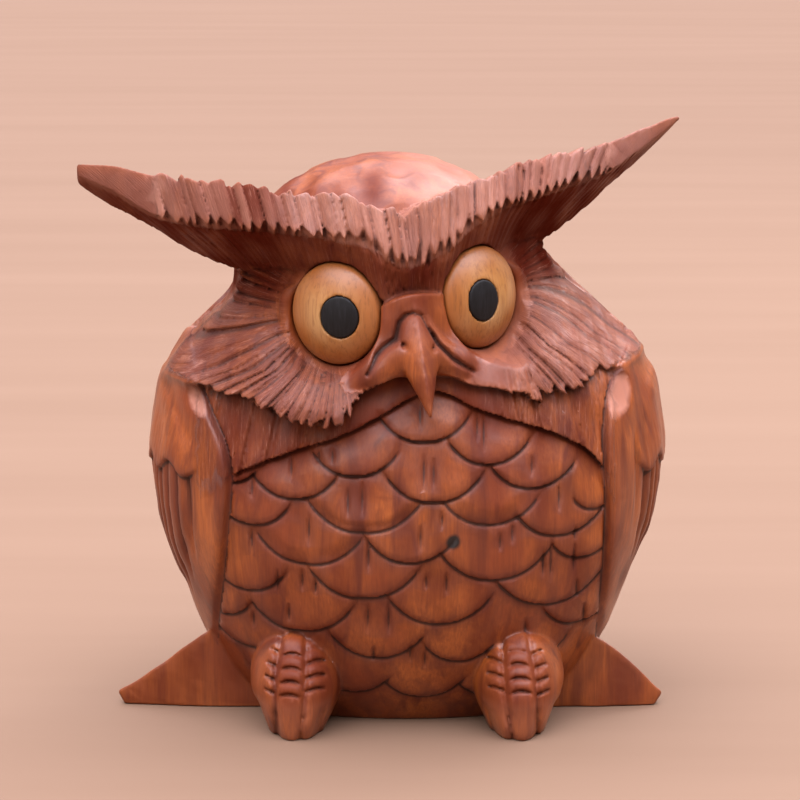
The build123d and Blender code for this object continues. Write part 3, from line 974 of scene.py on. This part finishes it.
def grid_values(dense, low, step, places):
    """The grid's values at places between its samples."""
    spots = (places - low) / step - 0.5
    spots = np.clip(spots, 0, np.array(dense.shape) - 1.001)
    base = spots.astype(np.int32)
    part = spots - base
    total = 0
    for corner in range(8):
        pick = np.array((corner & 1, corner >> 1 & 1, corner >> 2 & 1))
        weight = np.prod(np.where(pick == 1, part, 1 - part), axis=1)
        i, j, k = (base + pick).T
        total = total + weight * dense[i, j, k]
    return total


def mark_relief(thing, dense, low, step):
    """Marks how deep in a cut and how much on a ridge each vertex is: the wood's colour paints shade by the
    first and a partly painted highlight by the second.
    """
    places, normals = vertex_places(thing)
    hollow, ridge = 0, 0
    for reach in (0.5, 1.0, 2.0):
        outside = grid_values(dense, low, step, places + normals * reach)
        inside = grid_values(dense, low, step, places - normals * reach)
        hollow = hollow + tent(outside, reach) / 3
        ridge = ridge + np.clip(1 + inside / reach, 0, 1) / 3
    mark(thing, "hollow", hollow)
    mark(thing, "ridge", ridge)


def applied(thing):
    """Applies a thing's modifiers."""
    depsgraph = bpy.context.evaluated_depsgraph_get()
    mesh = bpy.data.meshes.new_from_object(thing.evaluated_get(depsgraph))
    thing.modifiers.clear()
    old = thing.data
    thing.data = mesh
    bpy.data.meshes.remove(old)


def thinned(thing, most):
    """Drops triangles where the surface is flattest, down to a count."""
    count = sum(len(p.vertices) - 2 for p in thing.data.polygons)
    if count > most:
        thin = thing.modifiers.new("thin", "DECIMATE")
        thin.ratio = most / count
        applied(thing)


def smoothed(thing):
    """Shades a thing smoothly."""
    for polygon in thing.data.polygons:
        polygon.use_smooth = True


def stain_and_shade(x, y, z):
    """How dark and red the finish is, from staining and from painted shade: deepest under the brow and under
    the face, where it is partly painted shade, and on the feet.
    """
    hx, hy, hz = into_head(x, y, z)
    reach = np.abs(hx)
    tone = 0.14 + 0.12 * waves(x, y, z, 40, 95) + 0.17 * waves(x, y, z / 2, 12, 96)
    front = y < 5
    above = z - COLLAR_EDGE(x)
    collar = front * ramp(above, -0.5, 0.5) * fall(hz - FACE_LOW_EDGE(hx), -1, 0.5) * (np.abs(x) < 55)
    # Darker on the collar under the face, most in the middle: partly staining, partly painted shade under the
    # face's overhang.
    tone = tone + collar * (0.22 + 0.3 * hump(x, 3, 22))
    # Painted shade: a darker band on the chest just below the collar's lower lip.
    tone = tone + front * 0.35 * fall(-above, 0, 7) * (above < 0.2) * (np.abs(x) < 50)
    face = front * ramp(hz - FACE_LOW_EDGE(hx), -0.5, 1) * fall(hz, 12, 16)
    tone = tone + 0.16 * face
    temple = front * ramp(reach, 27, 31) * fall(reach, 40, 47) * ramp(hz, 0, 5)
    tone = tone + 0.34 * temple
    tone = tone - 0.10 * ramp(np.abs(x), 44, 48) * (z > 22) * (z < 90)
    # Darker in the scoop under the brow's flutes: partly staining, partly painted shade under the brow.
    scoop = front * ramp(hz, 2, 9) * fall(hz - flute_foot(hx), -1.5, 0.5) * fall(reach, 55, 75)
    tone = tone + 0.38 * scoop
    beside_foot = np.minimum(*(np.abs(x - middle) for middle in FOOT_MIDDLES))
    feet = (y < -25) * fall(beside_foot, 11, 13)
    tone = tone + 0.45 * feet * fall(z, 24, 27) * ramp(-y, 40, 44) * ramp(z, 4, 11)
    # Darker over the crown, in random patches of staining, and most on its left: painted shade on the side
    # away from the light.
    crown = ramp(hz, 20, 26) * ramp(hy, -38, -30)
    tone = tone + crown * (0.16 + 0.28 * fall(hx, -6, 12) + 0.10 * waves(x, y, z, 11, 98))
    tone = tone + 0.36 * fall(z, 19, 23) * ramp(-x, 49, 54)
    return np.clip(tone, 0, 1)


def shows(field):
    """Where a form's own surface is the carving's."""
    return np.abs(field) < SHOWS_WITHIN


def strokes(x, y, z):
    """The tool's strokes: places across and along them, how much they show, the nearest cut, and painted
    highlights.
    """
    hx, hy, hz = into_head(x, y, z)
    reach = np.abs(hx)
    egg, relief, gap = body_forms(x, y, z)
    gap = np.where(shows(egg - relief), gap, FAR)

    rays = ray_fan(hx, hz)
    nose = shows(nose_field(hx, hy, hz))
    on_brow = shows(brow_field(hx, hy, hz)) & (z > 90)
    on_face = (face_zone(hx, hy, hz) > 0.5) & ~on_brow & ~nose
    on_collar = (y < 0) & (z > COLLAR_EDGE(x)) & (np.abs(x) < 52) & (hz < 0) & ~on_face & ~on_brow & ~nose
    above_foot = hz > flute_foot(hx) - 1
    fluted = above_foot & (reach < 58)

    ray_gap = edge_distance(rays.part, rays.width) + 0.28 + 0.5 * (1 - rayed(hx))
    gap = np.where(on_face, np.where(rays.out > 15, ray_gap, FAR), gap)
    index, part, width = flutes(hx, hz)
    flute_gap = edge_distance(part, width) + 0.85 - 0.6 * per_cell(index, 11, 0.15, 0.9)
    _, fine_part, fine_width = scoop_cuts(hx, hz)
    gap = np.where(on_brow, np.where(fluted, flute_gap, edge_distance(fine_part, fine_width) + 0.42), gap)
    near_fold = (hy < -38) & (reach < 18) & (hz < 6) & (hz > -18)
    gap = np.where(near_fold, np.minimum(gap, fold_gap(hx, hz)), gap)

    across = np.where(fluted, fan_place(hx, hz, FLUTE_AIM), fan_place(hx, hz, {-1: SCOOP_AIM, 1: SCOOP_AIM}))
    across = np.where(on_collar, x * 0.8, np.where(on_face, rays.spread * 0.36, across))
    along = np.where(on_face, rays.out, hz)
    shown = on_brow * np.where(fluted, 1, 0.5) + on_face * rayed(hx) * ramp(rays.out, 12, 16)
    shown = shown + 0.6 * on_collar * ramp(np.abs(x - 3), 8, 26)

    tuft = above_foot & (reach > 56)
    # Painted highlight on the flat chips at the top of each wing's leading edge.
    chipped = ramp(relief - egg, 0.15, 0.35) * (np.abs(z - 86) < 12) * (np.abs(x) > 42) * (y < -8) * ~on_face
    # Painted highlights on some of the brow's flute facets and on the tufts.
    painted_highlight = on_brow * (fluted * per_cell(index, 17, 0.15, 1.0) + 0.55 * tuft) + 0.9 * chipped
    # Painted sheen on the disc below each eye.
    under_eye = np.where(hx < 0, 0.15 * ramp(-rays.angle, 10, 50), 0.3 * ramp(-rays.angle, -12, 6))
    painted_highlight = painted_highlight + on_face * under_eye
    # Painted highlight over the middle of the brow.
    painted_highlight = painted_highlight + 0.35 * on_brow * fluted * hump(hx, 0, 16)
    crown = (hz > 18) & (hy > -32) & ~on_brow
    # Painted highlight on the crown's right side and on the claws.
    painted_highlight = painted_highlight + 0.5 * crown * ramp(hx, -4, 18) + 0.15 * (y < -42) * fall(z, 8, 11)
    return across, along, shown, gap, painted_highlight


def carved_block():
    """The owl itself: body, head, feet and tail, carved from one block."""
    low, high = CAD_BOX
    low = np.array(low) / MM - 3
    high = np.array(high) / MM + 3
    low[2] = -2.0
    owl, dense = meshed("owl_carving", owl_field, low, high, STEP)
    thinned(owl, MOST_TRIANGLES)
    smoothed(owl)
    mark_relief(owl, dense, low, STEP)
    places, _ = vertex_places(owl)
    mark(owl, "stain_and_shade", stain_and_shade(*places.T))
    for name, values in zip(("across", "along", "strokes", "gap", "painted_highlight"), strokes(*places.T)):
        mark(owl, name, values)
    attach(owl, "root")
    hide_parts("carved_body")
    return owl


# ---- eyes
def eye_dome(across, up, out):
    """The dome of an eye: the top of an ellipsoid that is as wide as the rim half way up."""
    share = 0.75 ** 0.5  # an ellipsoid's width there, as a part of its full width
    radii = (EYE_RIM[0] / share, EYE_RIM[1] / share, 2 * EYE_DOME)
    return ball((across, up, out + EYE_DOME), (0, 0, 0), radii)


def pupil_edge(across, up, out, side):
    """Distance out of the pupil's oval."""
    c, s = math.cos(PUPIL_TURN), math.sin(PUPIL_TURN)
    u = (across + side * PUPIL_OFFSET) * c + side * (out - EYE_DOME) * s
    q = np.sqrt((u / PUPIL_RADII[side][0]) ** 2 + (up / PUPIL_RADII[side][1]) ** 2)
    return (q - 1) * 5


def eye_mesh(side):
    """An eye: a smooth dome with a slightly rounded rim, on the tenon that sits in its socket."""
    def field(x, y, z):
        ring, out, across, up = eye_place(*into_head(x, y, z), side)
        f = smax(eye_dome(across, up, out), ring, 0.8)
        f = f + 0.05 * waves(x, y, z, 7, 93 + side)
        f = smax(f, -(out + EYE_SEAT), 0.3)
        pupil = pupil_edge(across, up, out, side)
        return smax(f, -np.maximum(pupil - PUPIL_GAP, -(out - 0.2)), 0.15)

    return eye_piece("eye", side, field, 0.4)


def pupil_mesh(side):
    """A pupil: an oval plug, flush with the dome and barely rounded at its edge."""
    def field(x, y, z):
        _, out, across, up = eye_place(*into_head(x, y, z), side)
        dome = eye_dome(across, up, out) - 0.08
        f = smax(dome, pupil_edge(across, up, out, side), 0.25) + 0.03 * waves(x, y, z, 4, 97 + side)
        return smax(f, -(out - 0.3), 0.2)

    return eye_piece("pupil", side, field, 0.3)


def eye_piece(kind, side, field, step):
    """An eye or a pupil as a mesh, in its CAD part's place."""
    name = ("left_" if side < 0 else "right_") + kind
    middle = HEAD_AXES @ np.array(EYE_CENTRES[side]) + np.array(HEAD_CENTRE)
    step = step * 1
    thing, _ = meshed(name + "_carving", field, middle - EYE_SPAN, middle + EYE_SPAN, step)
    smoothed(thing)
    places, _ = vertex_places(thing)
    ring = eye_place(*into_head(*places.T), side)[0]
    left_tone = 0.12 if side < 0 else 0  # the left eye is stained deeper
    mark(thing, "rim", np.clip(1 + ring / RING_SCALE + left_tone * ramp(-ring, 0.5, 3), 0, 1.2))
    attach(thing, "root")
    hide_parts(name)
    return thing


# ---- materials
class Graph:
    """A short way to write a material's nodes: an input that is a socket is linked, any other is set."""

    def __init__(self, name):
        self.material = bpy.data.materials.new(name)
        self.material.use_nodes = True
        self.tree = self.material.node_tree
        self.shader = self.tree.nodes["Principled BSDF"]

    def put(self, kind, inputs=(), **settings):
        node = self.tree.nodes.new("ShaderNode" + kind)
        for name, value in settings.items():
            setattr(node, name, value)
        for key, value in dict(inputs).items():
            self.feed(node, key, value)
        return node

    def feed(self, node, key, value):
        if isinstance(value, bpy.types.NodeSocket):
            self.tree.links.new(value, node.inputs[key])
        else:
            node.inputs[key].default_value = value

    def place(self, stretch):
        """Object coordinates, stretched along the grain."""
        coordinates = self.put("TexCoord").outputs["Object"]
        return self.put("Mapping", {"Vector": coordinates, "Scale": stretch}).outputs["Vector"]

    def noise(self, vector, scale, detail=4.0, roughness=0.55, distortion=0.0):
        inputs = {"Vector": vector, "Scale": scale, "Detail": detail, "Roughness": roughness,
                  "Distortion": distortion}
        return self.put("TexNoise", inputs).outputs["Fac"]

    def attribute(self, name):
        return self.put("Attribute", attribute_name=name).outputs["Fac"]

    def between(self, value, low, high):
        """0 below low, 1 above high."""
        return self.put("MapRange", {"Value": value, "From Min": low, "From Max": high}).outputs["Result"]

    def math(self, operation, first, second, clamp=True):
        return self.put("Math", {0: first, 1: second}, operation=operation, use_clamp=clamp).outputs[0]

    def mix(self, factor, first, second):
        node = self.put("Mix", data_type="RGBA")
        self.feed(node, 0, factor)
        self.feed(node, 6, first)
        self.feed(node, 7, second)
        return node.outputs[2]

    def over(self, colour, upper, mask, strength):
        """Lays one colour over another, as far as a mask and a strength say."""
        return self.mix(self.math("MULTIPLY", mask, strength), colour, upper)

    def spot(self, centre, radius):
        """1 inside a small ball, with a soft edge."""
        coordinates = self.put("TexCoord").outputs["Object"]
        away = self.put("VectorMath", {0: coordinates, 1: centre}, operation="DISTANCE").outputs["Value"]
        return self.between(away, radius, radius * 0.6)

    def bump(self, height, strength, distance, normal=None):
        inputs = {"Height": height, "Strength": strength, "Distance": distance}
        if normal is not None:
            inputs["Normal"] = normal
        return self.put("Bump", inputs).outputs["Normal"]

    def finish(self, **sockets):
        names = {"base": "Base Color", "roughness": "Roughness", "normal": "Normal", "coat": "Coat Weight",
                 "coat_roughness": "Coat Roughness", "specular": "Specular IOR Level"}
        for name, value in sockets.items():
            self.feed(self.shader, names[name], value)
        return self.material


# The knots' middles and radii, then the wood's colours.
KNOTS = (((11.7, -49, 51.1), 2.3), ((21.3, -47, 35.3), 1.3), ((43.7, -30, 10.9), 1.2))
LIGHT = (0.36, 0.092, 0.017, 1)
WARM = (0.215, 0.042, 0.0095, 1)
STREAK = (0.115, 0.020, 0.0065, 1)
# Used for the staining and for painted shade beside cuts and in fine strokes.
DEEP = (0.085, 0.0135, 0.0075, 1)
# Partly rubbed wear, partly painted highlight on ridges.
RUBBED_AND_HIGHLIT = (0.40, 0.115, 0.038, 1)
# Painted highlights and sheen.
PALE = (0.53, 0.245, 0.175, 1)
# Painted shade in hollows and cuts.
CUT_SHADE = (0.020, 0.0055, 0.0035, 1)
KNOT = (0.010, 0.005, 0.004, 1)


def wood_colour(g, fibres, hair):
    """Soft streaks, then the staining with its painted shade, the tool's strokes with painted shade and
    highlights, painted highlights, rubbed ridges with painted highlights, painted shade in hollows and cuts,
    and knots.
    """
    streaks = g.noise(g.place((1, 1, 0.10)), 210, 4, 0.55, 0.8)
    clouds = g.noise(g.place((1, 1, 0.5)), 62, 4)
    colour = g.mix(g.between(clouds, 0.38, 0.62), WARM, LIGHT)
    colour = g.mix(g.between(streaks, 0.46, 0.70), colour, STREAK)
    # The staining together with the painted shade under the brow, the face and the collar's lip and on the
    # crown's left.
    colour = g.mix(g.attribute("stain_and_shade"), colour, DEEP)
    colour = g.mix(0.5, colour, g.mix(g.between(fibres, 0.35, 0.7), colour, STREAK))
    shown = g.attribute("strokes")
    # Painted shade: dark fine lines in the grooves of the tool's strokes.
    colour = g.over(colour, DEEP, g.math("MULTIPLY", g.between(hair, 0.48, 0.72), shown), 0.8)
    # Painted highlights: pale where light catches the chips, flute facets, tufts, lower disc, crown's right
    # and claws.
    colour = g.over(colour, PALE, g.attribute("painted_highlight"), 0.6)
    # Painted highlights: pale fine lines on the ridges between the strokes.
    colour = g.over(colour, PALE, g.math("MULTIPLY", g.between(hair, 0.44, 0.26), shown), 0.65)
    # Lighter on ridges: partly rubbed wear, partly painted highlight.
    colour = g.over(colour, RUBBED_AND_HIGHLIT, g.between(g.attribute("ridge"), 0.12, 0.6), 0.3)
    # Painted shade in hollows, darker the more shut in a place is.
    colour = g.over(colour, CUT_SHADE, g.between(g.attribute("hollow"), 0.10, 0.62), 0.7)
    gap = g.attribute("gap")
    # Darker beside the cuts: partly staining, partly painted shade.
    colour = g.over(colour, DEEP, g.between(gap, 4.0, 0.5), 0.4)
    # Painted shade: a dark line along the bottom of each cut.
    colour = g.over(colour, CUT_SHADE, g.between(gap, 0.56, 0.24), 0.75)
    for centre, radius in KNOTS:
        knot = g.spot(tuple(v * MM for v in centre), radius * MM)
        colour = g.mix(knot, colour, KNOT)
    return colour


def wood_material():
    """Stained and waxed reddish wood with upright fibres: duller where the staining and painted shade are
    deep, and beside cuts.
    """
    g = Graph("carved_wood")
    fibres = g.noise(g.place((1, 1, 0.045)), 1900, 3, 0.6, 0.4)
    along = g.math("MULTIPLY", g.attribute("along"), 0.07, clamp=False)
    stroke_place = g.put("CombineXYZ", {"X": g.attribute("across"), "Y": along}).outputs[0]
    hair = g.noise(stroke_place, 2.4, 4, 0.7, 0.25)
    rough = g.noise(g.place((1, 1, 0.3)), 120, 3)
    sheen = g.put("MapRange", {"Value": rough, "To Min": 0.28, "To Max": 0.46}).outputs["Result"]
    stained_and_shaded = g.attribute("stain_and_shade")
    beside_cut = g.between(g.attribute("gap"), 2.4, 0.4)
    matte = g.math("ADD", g.math("MULTIPLY", stained_and_shaded, 0.3), g.math("MULTIPLY", beside_cut, 0.3))
    normal = g.bump(fibres, 0.22, 0.00012)
    normal = g.bump(g.math("MULTIPLY", hair, g.attribute("strokes")), 0.9, 0.0006, normal)
    normal = g.bump(g.noise(g.place((1, 1, 0.7)), 420, 2), 0.25, 0.00025, normal)
    return g.finish(base=wood_colour(g, fibres, hair), normal=normal,
                    roughness=g.math("ADD", sheen, matte),
                    specular=g.math("SUBTRACT", 0.5, g.math("MULTIPLY", stained_and_shaded, 0.5)),
                    coat=g.math("SUBTRACT", 0.17, g.math("MULTIPLY", stained_and_shaded, 0.25)),
                    coat_roughness=0.22)


def eye_material():
    """Pale golden wood, with near-upright grain and orange staining towards the rim."""
    g = Graph("eye_wood")
    fibres = g.noise(g.place((1, 1, 0.06)), 1500, 4, 0.65, 0.5)
    clouds = g.noise(g.place((1, 1, 0.5)), 150, 3)
    colour = g.mix(g.between(clouds, 0.35, 0.65), (0.36, 0.150, 0.032, 1), (0.45, 0.245, 0.095, 1))
    rim = g.between(g.attribute("rim"), 0.35, 1.05)
    colour = g.over(colour, (0.29, 0.078, 0.014, 1), rim, 0.85)
    colour = g.over(colour, (0.15, 0.050, 0.014, 1), g.between(fibres, 0.48, 0.72), 0.7)
    # Painted shade: a dark ring at the rim's very edge, in the gap round the eye.
    colour = g.mix(g.between(g.attribute("rim"), 0.975, 1.02), colour, (0.07, 0.024, 0.010, 1))
    normal = g.bump(fibres, 0.15, 0.0001)
    return g.finish(base=colour, roughness=0.4, normal=normal, coat=0.15, coat_roughness=0.3)


def pupil_material():
    """Blackened wood, with the grain barely showing."""
    g = Graph("pupil_wood")
    fibres = g.noise(g.place((1, 1, 0.08)), 1700, 3, 0.6, 0.4)
    colour = g.mix(g.between(fibres, 0.45, 0.8), (0.004, 0.004, 0.005, 1), (0.012, 0.012, 0.015, 1))
    normal = g.bump(fibres, 0.2, 0.0001)
    return g.finish(base=colour, roughness=0.55, normal=normal, specular=0.28)


def floor_material():
    """A pale warm table top."""
    g = Graph("floor")
    streaks = g.noise(g.place((0.25, 2.5, 1)), 9, 4)
    colour = g.mix(g.between(streaks, 0.3, 0.7), (0.168, 0.104, 0.068, 1), (0.18, 0.113, 0.075, 1))
    return g.finish(base=colour, roughness=0.8, specular=0.2)


def assign(thing, material):
    thing.data.materials.clear()
    thing.data.materials.append(material)


# ---- stage, light, camera (in metres)
FLOOR_HALF = 8.0
LENS = 148
CAMERA_TARGET = (-0.0013, 0, 0.077)
CAMERA_DISTANCE = 0.85
CAMERA_RISE = math.radians(11)


def stage():
    """The floor."""
    mesh = bpy.data.meshes.new("floor")
    corners = [(x * FLOOR_HALF, y * FLOOR_HALF, 0) for x, y in ((-1, -1), (1, -1), (1, 1), (-1, 1))]
    mesh.from_pydata(corners, [], [(0, 1, 2, 3)])
    floor = bpy.data.objects.new("floor", mesh)
    bpy.context.scene.collection.objects.link(floor)
    assign(floor, floor_material())


def area_light(name, place, target, size, power, colour=(1, 1, 1)):
    light = bpy.data.lights.new(name, "AREA")
    light.shape = "DISK"
    light.size = size
    light.energy = power
    light.color = colour
    thing = bpy.data.objects.new(name, light)
    bpy.context.scene.collection.objects.link(thing)
    point_at(thing, place, target)


def point_at(thing, place, target):
    way = Vector(target) - Vector(place)
    thing.location = place
    thing.rotation_euler = way.to_track_quat("-Z", "Y").to_euler()


def camera():
    """The photograph's view: from the front, a little above."""
    data = bpy.data.cameras.new("camera")
    thing = bpy.data.objects.new("camera", data)
    bpy.context.scene.collection.objects.link(thing)
    data.sensor_width = 36
    data.lens = LENS
    data.clip_start = 0.05
    back = CAMERA_DISTANCE * math.cos(CAMERA_RISE)
    up = CAMERA_DISTANCE * math.sin(CAMERA_RISE)
    point_at(thing, (CAMERA_TARGET[0], -back, CAMERA_TARGET[2] + up), CAMERA_TARGET)
    bpy.context.scene.camera = thing


def sky():
    """An overcast garden: bright above, dim and green-brown round the horizon."""
    world = bpy.data.worlds.new("world")
    bpy.context.scene.world = world
    world.use_nodes = True
    nodes, links = world.node_tree.nodes, world.node_tree.links
    way = nodes.new("ShaderNodeTexCoord")
    parts = nodes.new("ShaderNodeSeparateXYZ")
    links.new(way.outputs["Generated"], parts.inputs[0])
    bands = nodes.new("ShaderNodeValToRGB")
    links.new(parts.outputs["Z"], bands.inputs["Fac"])
    stops = ((0.0, (0.10, 0.085, 0.065, 1)), (0.55, (0.16, 0.15, 0.14, 1)), (0.78, (1.85, 1.75, 1.95, 1)),
             (1.0, (2.0, 1.9, 2.1, 1)))
    while len(bands.color_ramp.elements) < len(stops):
        bands.color_ramp.elements.new(0.5)
    for element, (position, colour) in zip(bands.color_ramp.elements, stops):
        element.position = position
        element.color = colour
    links.new(bands.outputs["Color"], nodes["Background"].inputs["Color"])
    nodes["Background"].inputs["Strength"].default_value = 3.6


def lights():
    """A soft light in front and a smaller one behind, under the sky."""
    sky()
    bpy.context.scene.view_settings.view_transform = "Standard"
    area_light("front", (-0.5, -0.9, 0.75), (0, 0, 0.08), 0.8, 3, (1, 0.97, 0.92))
    area_light("behind", (0.6, 0.6, 0.7), (0, 0, 0.08), 0.4, 4)


def main():
    camera()
    lights()
    stage()
    owl = carved_block()
    assign(owl, wood_material())
    eye_wood, pupil_wood = eye_material(), pupil_material()
    for side in (-1, 1):
        assign(eye_mesh(side), eye_wood)
        assign(pupil_mesh(side), pupil_wood)


main()
